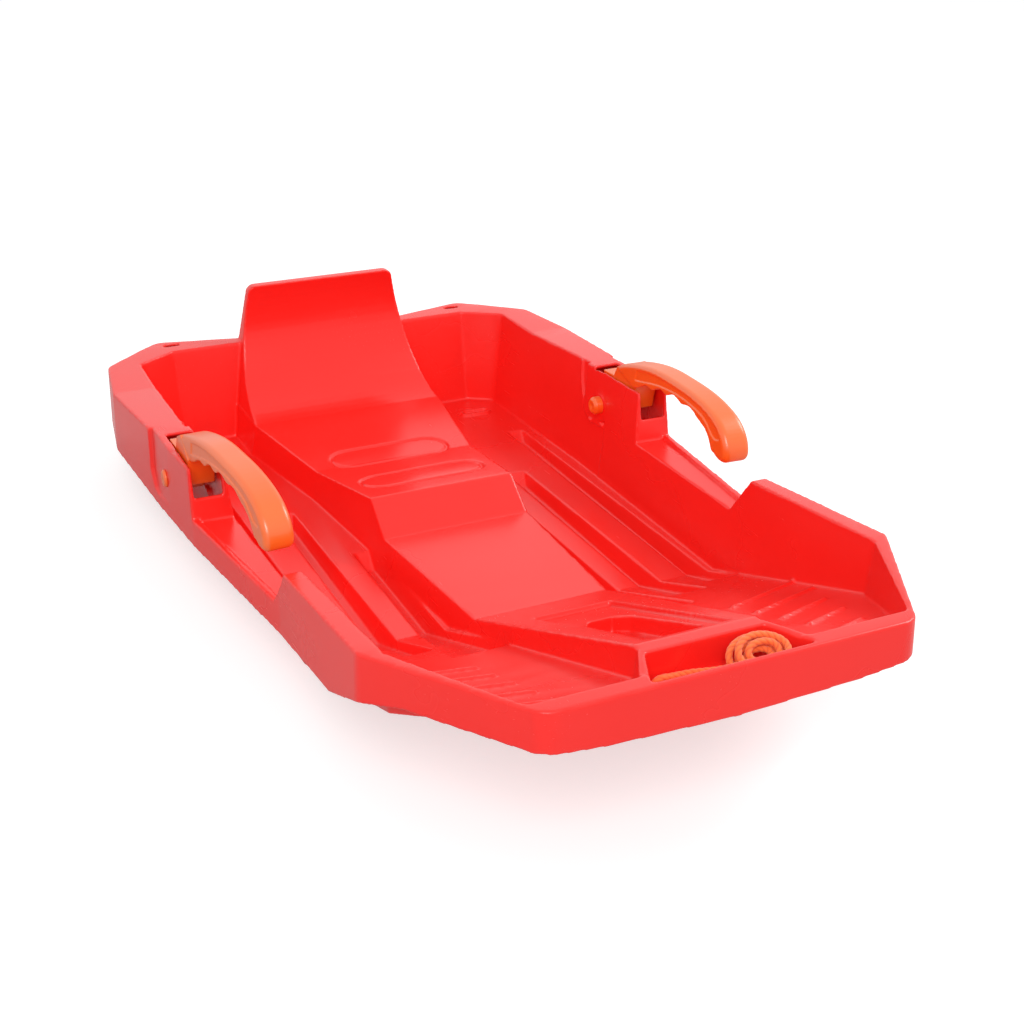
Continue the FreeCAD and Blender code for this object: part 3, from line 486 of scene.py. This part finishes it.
@dataclass
class SoftenedCopy:
    """Copy of a solid's mesh with every edge and corner softened, as a mould leaves them.

    A fine even grid is laid over the solid and relaxed, which rounds its edges and keeps its flats and walls.
    """

    node: str
    grid: float
    relaxing: int
    triangles: int
    bead: WallBead | None = None
    relaxing_share: float = 0.5
    weld: float = 1e-5

    def make(self, name: str) -> bpy.types.Object:
        """Copies, merges and softens the node.

        Args:
            name: name of the new piece.

        Returns:
            The finished piece, which stands for the node.
        """
        piece = placed(name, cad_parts[self.node].data.copy())
        piece.data.materials.clear()
        only_selected(piece)
        bpy.ops.object.mode_set(mode="EDIT")
        bpy.ops.mesh.select_all(action="SELECT")
        bpy.ops.mesh.remove_doubles(threshold=self.weld)
        bpy.ops.object.mode_set(mode="OBJECT")
        if self.bead:
            self.bead.add_to(piece)
        even = piece.modifiers.new("even_grid", "REMESH")
        even.mode = "VOXEL"
        even.voxel_size = self.grid
        relaxed = piece.modifiers.new("relaxed", "SMOOTH")
        relaxed.factor = self.relaxing_share
        relaxed.iterations = self.relaxing
        apply_modifiers(piece)
        triangles_now = 2 * len(piece.data.polygons)
        fewer = piece.modifiers.new("fewer", "DECIMATE")
        fewer.ratio = min(1.0, self.triangles / triangles_now)
        apply_modifiers(piece)
        bpy.ops.object.shade_smooth()
        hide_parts(self.node)
        return piece


@dataclass
class MouldedHull:
    """The one-piece hull: backrest, seat, foot ramps, bow bridge and rims."""

    grid: float = 0.0011
    relaxing: int = 7
    triangles: int = 195_000
    bead: WallBead = field(default_factory=WallBead)

    def build(self, material: bpy.types.Material) -> bpy.types.Object:
        """Builds and dresses the hull.

        Args:
            material: finish of the hull.

        Returns:
            The hull's piece.
        """
        piece = SoftenedCopy("hull", self.grid, self.relaxing, self.triangles, self.bead).make("moulded_hull")
        piece.data.materials.append(material)
        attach(piece, "hull")
        return piece


@dataclass
class BrakeLever:
    """Hand brake: grip, hub and claw arm in one moulding."""

    side: Side
    grid: float = 0.0006
    relaxing: int = 4
    triangles: int = 50_000

    def build(self, material: bpy.types.Material) -> bpy.types.Object:
        """Builds and dresses the lever of one side.

        Args:
            material: finish of the lever.

        Returns:
            The lever's piece.
        """
        copy = SoftenedCopy(f"brake_lever_{self.side.word}", self.grid, self.relaxing, self.triangles)
        piece = copy.make(f"brake_{self.side.word}_lever")
        piece.data.materials.append(material)
        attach(piece, f"brake_{self.side.word}")
        return piece


@dataclass
class PivotPin:
    """Pin with a dished head, and the cap on its inner end."""

    side: Side
    grid: float = 0.0003
    relaxing: int = 3
    triangles: int = 8_000

    def build(self, material: bpy.types.Material) -> list[bpy.types.Object]:
        """Builds and dresses the pin and cap of one side.

        Args:
            material: finish of both.

        Returns:
            The two pieces.
        """
        pieces = []
        for node in (f"pivot_pin_{self.side.word}", f"pin_cap_{self.side.word}"):
            piece = SoftenedCopy(node, self.grid, self.relaxing, self.triangles).make(f"{node}_rounded")
            piece.data.materials.append(material)
            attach(piece, "hull")
            pieces.append(piece)
        return pieces


@dataclass
class RopeTube:
    """Mesh of a three-strand laid rope along a smooth line."""

    diameter: float = 0.0045
    strands: int = 3
    lay_length: float = 0.013
    groove_depth: float = 0.16
    groove_sharpness: float = 1.6
    sides: int = 18
    ring_gap: float = 0.0007
    spline_order: int = 3
    resolution: int = 16
    smooth_angle: float = math.radians(60.0)

    def line_points(self, route: list[Point], name: str) -> list[Vector]:
        """Points of the smooth line through a route's NURBS spline.

        Args:
            route: control points in metres.
            name: name of the passing curve.

        Returns:
            Points along the line, close together and evenly spaced.
        """
        curve = bpy.data.curves.new(name, "CURVE")
        curve.dimensions = "3D"
        curve.resolution_u = self.resolution
        spline = curve.splines.new("NURBS")
        spline.points.add(len(route) - 1)
        for control, place in zip(spline.points, route):
            control.co = (*place, 1.0)
        spline.order_u = self.spline_order
        spline.use_endpoint_u = True
        holder = placed(name, curve)
        bpy.context.view_layer.update()
        mesh = bpy.data.meshes.new_from_object(holder.evaluated_get(bpy.context.evaluated_depsgraph_get()))
        points = [vertex.co.copy() for vertex in mesh.vertices]
        bpy.data.meshes.remove(mesh)
        bpy.data.objects.remove(holder)
        bpy.data.curves.remove(curve)
        return self.even(points)

    def even(self, points: list[Vector]) -> list[Vector]:
        """Spaces a line's points evenly.

        Args:
            points: points along the line.

        Returns:
            The same line with evenly spaced points.
        """
        lengths = [0.0]
        for before, after in zip(points, points[1:]):
            lengths.append(lengths[-1] + (after - before).length)
        count = max(2, round(lengths[-1] / self.ring_gap))
        spaced = []
        index = 0
        for step in range(count + 1):
            target = lengths[-1] * step / count
            while index < len(points) - 2 and lengths[index + 1] < target:
                index += 1
            span = lengths[index + 1] - lengths[index]
            share = (target - lengths[index]) / span if span > 0 else 0.0
            spaced.append(points[index].lerp(points[index + 1], min(1.0, max(0.0, share))))
        return spaced

    def skin(self, points: list[Vector], name: str) -> bpy.types.Object:
        """Wraps the strands' outline round a line, with flat ends.

        Args:
            points: evenly spaced points of the line.
            name: name of the piece.

        Returns:
            The rope as a closed mesh with a UV map and a groove attribute.
        """
        shape = bmesh.new()
        uv = shape.loops.layers.uv.new("rope")
        groove = shape.verts.layers.float.new("groove")
        heading = (points[1] - points[0]).normalized()
        across = heading.orthogonal().normalized()
        rings = []
        travelled = 0.0
        for index, place in enumerate(points):
            ahead = direction(points, index).normalized()
            across = (heading.rotation_difference(ahead) @ across).normalized()
            heading = ahead
            beside = heading.cross(across)
            if index:
                travelled += (place - points[index - 1]).length
            twist = 2 * math.pi * travelled / self.lay_length
            ring = []
            for side in range(self.sides):
                angle = 2 * math.pi * side / self.sides
                sunk = 1 - abs(math.sin(self.strands * (angle - twist) / 2))
                reach = self.diameter / 2 * (1 - self.groove_depth * sunk ** self.groove_sharpness)
                spoke = across * math.cos(angle) + beside * math.sin(angle)
                vertex = shape.verts.new(place + spoke * reach)
                # how deep the groove between the strands is here; the material paints shade from it
                vertex[groove] = sunk ** 2
                ring.append(vertex)
            rings.append((ring, travelled))
        for (ring, start), (after, end) in zip(rings, rings[1:]):
            for side in range(self.sides):
                nxt = (side + 1) % self.sides
                face = shape.faces.new((ring[side], ring[nxt], after[nxt], after[side]))
                places = ((side, start), (side + 1, start), (side + 1, end), (side, end))
                for loop, (u, v) in zip(face.loops, places):
                    loop[uv].uv = (u / self.sides, v)
        shape.faces.new(rings[0][0][::-1])
        shape.faces.new(rings[-1][0])
        shape.normal_update()
        mesh = bpy.data.meshes.new(name)
        shape.to_mesh(mesh)
        shape.free()
        piece = placed(name, mesh)
        only_selected(piece)
        bpy.ops.object.shade_smooth_by_angle(angle=self.smooth_angle)
        return piece


@dataclass
class StopperKnot:
    """Overhand knot drawn up under the tray floor, with a short end below it.

    Attributes:
        hole: place of the hole that it is drawn up under.
        top: height at which the rope enters it.
        overlap: how far it starts inside the rope above.
        neck: straight rope between the hole and the knot.
        depth: how far the knot's middle is below its top.
        radius: reach of the knot's loops.
        rise: half the knot's height.
        points_round: control points once through the knot.
        way_out: how far below the middle the end comes out.
        stub: length of the end below that.
    """

    hole: tuple[float, float]
    top: float
    overlap: float = 0.0006
    neck: float = 0.0012
    depth: float = 0.0067
    radius: float = 0.0045
    rise: float = 0.00225
    points_round: int = 30
    way_out: float = 0.003
    stub: float = 0.0035

    def route(self) -> list[Point]:
        """Works out the knot's line, which is a trefoil between two straight ends.

        Returns:
            Control points from the hole down.
        """
        x, y = self.hole
        middle = self.top - self.depth
        out = middle - self.way_out
        places = [(x, y, self.top + self.overlap), (x, y, self.top - self.neck)]
        for step in range(self.points_round):
            angle = 2 * math.pi * (step + 0.5) / self.points_round
            places.append((x + self.radius / 3 * (math.sin(angle) + 2 * math.sin(2 * angle)),
                           y + self.radius / 3 * (math.cos(angle) - 2 * math.cos(2 * angle)),
                           middle - self.rise * math.sin(3 * angle)))
        places += [(x, y, out), (x, y, out - self.stub)]
        return places

    def build(self, tube: RopeTube, name: str, node: str, material: bpy.types.Material) -> bpy.types.Object:
        """Builds and dresses the knot.

        Args:
            tube: the rope it is tied in.
            name: name of the piece.
            node: solid that it stands for.
            material: finish of the rope.

        Returns:
            The knot's piece.
        """
        piece = tube.skin(tube.line_points(self.route(), name), name)
        piece.data.materials.append(material)
        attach(piece, "hull")
        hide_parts(node)
        return piece


@dataclass(frozen=True)
class CoilStation:
    """Place where a loop of the coil crosses the coil's middle, by turns low in front and high behind.

    Attributes:
        across: distance from the coil's middle, down the slope in front and up it behind.
        next_end: place along Y where the rope turns back before the next station.
        level: layer of the coil, which may lie between two.
    """

    across: float
    next_end: float
    level: float


@dataclass
class TowRope:
    """Tow rope: knotted under two holes of the tray, with its slack in loose loops by the rear wall.

    The near and tail routes are the stretches of rope between the holes and the coil.
    """

    tube: RopeTube = field(default_factory=RopeTube)
    knot_top: float = 0.108
    near_hole: tuple[float, float] = (0.3756, -0.0389)
    near_route: tuple[Point, ...] = (
        (0.3756, -0.0389, 0.1116), (0.3754, -0.0366, 0.1146), (0.3752, -0.0324, 0.1153),
        (0.3749, -0.0270, 0.1143), (0.3760, -0.0200, 0.1148), (0.3800, -0.0135, 0.1170),
        (0.3860, -0.0080, 0.1196), (0.3915, -0.0020, 0.1222), (0.3958, 0.0060, 0.1252),
        (0.3992, 0.0140, 0.1282))
    tail_route: tuple[Point, ...] = (
        (0.3986, 0.0350, 0.1136), (0.3968, 0.0420, 0.1134), (0.3914, 0.0472, 0.1131))
    tail_hole: tuple[float, float] = (0.3912, 0.0474)
    middle: Point = (0.3868, 0.0270, 0.1211)
    tilt: float = math.radians(33.0)
    layer_pitch: float = 0.005
    stations: tuple[CoilStation, ...] = (
        CoilStation(0.0140, 0.0085, 0.0), CoilStation(0.0138, 0.0445, 0.0),
        CoilStation(0.0092, 0.0140, 0.0), CoilStation(0.0090, 0.0392, 0.0),
        CoilStation(0.0049, 0.0192, 0.05), CoilStation(0.0047, 0.0342, 0.25),
        CoilStation(0.0055, 0.0185, 1.05), CoilStation(0.0064, 0.0385, 1.35),
        CoilStation(0.0099, 0.0120, 1.35), CoilStation(0.0117, 0.0430, 1.25),
        CoilStation(0.0102, 0.0, 2.45))
    points_per_half_loop: int = 6
    join_gap: float = 0.001

    def place(self, across: float, y: float, level: float) -> Point:
        """Point in the tilted coil.

        Args:
            across: distance down the slope from the coil's middle.
            y: place along the coil.
            level: layer, which may lie between two.

        Returns:
            The point in metres.
        """
        up = level * self.layer_pitch
        return (self.middle[0] + across * math.cos(self.tilt) + up * math.sin(self.tilt), y,
                self.middle[2] - across * math.sin(self.tilt) + up * math.cos(self.tilt))

    def loop_points(self) -> list[Point]:
        """Works out the loops, whose control points lie a little outside the line that they lead.

        Returns:
            Control points from the low outer loop, which starts at the far hole, to the top of the coil.
        """
        outside = 2 / (1 + math.cos(math.pi / self.points_per_half_loop))
        points = []
        for index, (start, end) in enumerate(zip(self.stations, self.stations[1:])):
            front = 1 if index % 2 == 0 else -1
            for step in range(self.points_per_half_loop):
                share = step / self.points_per_half_loop
                angle = math.pi * share
                half = start.across + (end.across - start.across) * share
                swing = (start.next_end - self.middle[1]) * math.sin(angle) * outside
                rise = (end.level - start.level) * share ** 2 * (3 - 2 * share)
                points.append(self.place(front * half * outside * math.cos(angle), self.middle[1] + swing,
                                         start.level + rise))
        return points

    def route(self) -> list[Point]:
        """Joins the near route, the coil and the tail.

        Returns:
            Control points of the whole rope, from the knot under the near hole to the one under the far hole.
        """
        last = self.stations[-1]
        join = self.place(last.across, self.middle[1] - self.join_gap, last.level)
        near = [(*self.near_hole, self.knot_top), *self.near_route, join]
        tail = [*self.tail_route, (*self.tail_hole, self.knot_top)]
        return near + self.loop_points()[::-1] + tail

    def build(self, material: bpy.types.Material) -> bpy.types.Object:
        """Builds the rope and its two knots.

        Args:
            material: finish of the rope.

        Returns:
            The rope's piece.
        """
        near_knot = StopperKnot(self.near_hole, self.knot_top).build(
            self.tube, "near_knot", "rope_knot_near", material)
        far_knot = StopperKnot(self.tail_hole, self.knot_top).build(
            self.tube, "far_knot", "rope_knot_far", material)
        points = self.tube.line_points(self.route(), "rope_line")
        length = sum((after - before).length for before, after in zip(points, points[1:]))
        piece = self.tube.skin(points, "tow_rope_laid")
        piece.data.materials.append(material)
        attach(piece, "hull")
        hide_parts("tow_rope", "tow_rope_coil", "tow_rope_tail")
        log.info("rope line is %.3f m long", length)
        return piece


@dataclass(frozen=True)
class SoftLamp:
    """Square lamp that points at the sled, with its size in metres and its power in watts."""

    name: str
    place: Point
    size: float
    power: float
    target: Point = (0.0, 0.0, 0.08)

    def build(self) -> None:
        """Adds the lamp."""
        data = bpy.data.lights.new(self.name, "AREA")
        data.size = self.size
        data.energy = self.power
        holder = placed(self.name, data)
        holder.location = self.place
        holder.rotation_mode = "QUATERNION"
        holder.rotation_quaternion = (Vector(self.target) - Vector(self.place)).to_track_quat("-Z", "Y")


@dataclass
class Studio:
    """Pale floor, soft lamps and the camera at the photograph's viewing angle."""

    focal_length: float = 52.73
    film_width: float = 36.0
    camera_place: Point = (1.03609, -0.43436, 0.58526)
    elevation: float = math.radians(25.146)
    turn: float = math.radians(-24.658)
    sight: Band = (0.02, 60.0)
    floor_half: float = 6.0
    floor_drop: float = 0.0004
    floor_grey: float = 0.6
    floor_roughness: float = 0.9
    floor_glow: float = 0.6
    world_strength: float = 0.66
    lamps: tuple[SoftLamp, ...] = (
        SoftLamp("bow_lamp", (1.6, -0.8, 1.4), 0.9, 20.0), SoftLamp("side_lamp", (0.0, 1.9, 1.7), 1.0, 26.0))

    def camera(self) -> None:
        """Adds the camera."""
        data = bpy.data.cameras.new("camera")
        data.lens = self.focal_length
        data.sensor_width = self.film_width
        data.clip_start, data.clip_end = self.sight
        level = math.cos(self.elevation)
        ahead = (-level * math.cos(self.turn), -level * math.sin(self.turn), -math.sin(self.elevation))
        holder = placed("camera", data)
        holder.location = self.camera_place
        holder.rotation_mode = "QUATERNION"
        holder.rotation_quaternion = Vector(ahead).to_track_quat("-Z", "Y")
        bpy.context.scene.camera = holder

    def floor(self) -> None:
        """Adds the pale floor, which looks white to the camera and keeps the sled's shadow."""
        half = self.floor_half
        corners = [(-half, -half, 0), (half, -half, 0), (half, half, 0), (-half, half, 0)]
        mesh = bpy.data.meshes.new("floor")
        mesh.from_pydata(corners, [], [(0, 1, 2, 3)])
        floor = placed("floor", mesh)
        floor.location.z = -self.floor_drop
        material = bpy.data.materials.new("pale_floor")
        material.use_nodes = True
        tree = material.node_tree
        shader = tree.nodes["Principled BSDF"].inputs
        shader["Base Color"].default_value = (self.floor_grey, self.floor_grey, self.floor_grey, 1.0)
        shader["Roughness"].default_value = self.floor_roughness
        shader["Specular IOR Level"].default_value = 0.0
        shader["Emission Color"].default_value = opaque(WHITE)
        path = tree.nodes.new("ShaderNodeLightPath").outputs
        glow = maths(tree, "MULTIPLY", path["Is Camera Ray"], self.floor_glow)
        tree.links.new(glow, shader["Emission Strength"])
        mesh.materials.append(material)

    def world(self) -> None:
        """Lights the scene evenly and shows white behind it."""
        world = bpy.data.worlds.new("soft_room")
        bpy.context.scene.world = world
        world.use_nodes = True
        tree = world.node_tree
        background = tree.nodes["Background"].inputs
        path = tree.nodes.new("ShaderNodeLightPath").outputs
        seen = maths(tree, "MAXIMUM", path["Is Camera Ray"], path["Is Glossy Ray"])
        shown = maths(tree, "MAXIMUM", seen, path["Is Transmission Ray"])
        strength = linked(tree, "ShaderNodeMix", {0: shown, 2: self.world_strength, 3: 1.0}).outputs[0]
        background["Color"].default_value = opaque(WHITE)
        tree.links.new(strength, background["Strength"])

    def build(self) -> None:
        """Adds the whole studio."""
        self.camera()
        self.floor()
        self.world()
        for lamp in self.lamps:
            lamp.build()
        bpy.context.scene.view_settings.view_transform = "Standard"


def report(piece: bpy.types.Object) -> None:
    """Logs a piece's name and its number of faces."""
    log.info("%s: %d faces", piece.name, len(piece.data.polygons))


def main() -> None:
    """Builds the studio, the rope, the hull and the brakes, and notes the sizes."""
    logging.basicConfig(level=logging.INFO, format="%(name)s: %(message)s")
    Studio().build()
    rope = ROPE_ORANGE.build()
    report(TowRope().build(rope))
    skin, wear = MouldedSkin().build(), EdgeWear().build()
    red, orange = HULL_RED.build(skin, wear), BRAKE_ORANGE.build(skin, wear)
    report(MouldedHull().build(red))
    for side in Side:
        report(BrakeLever(side).build(orange))
        for piece in PivotPin(side).build(orange):
            report(piece)


if __name__ == "__main__":
    main()
